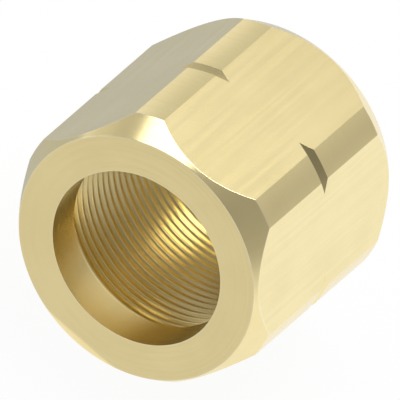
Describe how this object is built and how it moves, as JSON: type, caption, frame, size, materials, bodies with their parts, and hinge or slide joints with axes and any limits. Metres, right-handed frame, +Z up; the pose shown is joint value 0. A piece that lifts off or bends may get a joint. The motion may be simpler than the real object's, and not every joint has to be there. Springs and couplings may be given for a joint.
{
  "type": "flare nut",
  "caption": "Brass hexagon nut for a flared tube: plain tube hole, hidden seat and internal thread, chamfered ends, notched corners.",
  "frame": {"origin": "on the surface that the nut lies on, under the middle of its length", "axes": "+Y along the thread axis, from the tube end to the threaded end; +Z up, out of the top flat; +X across two corners"},
  "size_m": [0.0416, 0.037, 0.0381],
  "materials": {
    "brass": "bright turned brass with fine tool marks"
  },
  "bodies": {
    "root": {"flare_nut": "brass"}
  },
  "joints": []
}
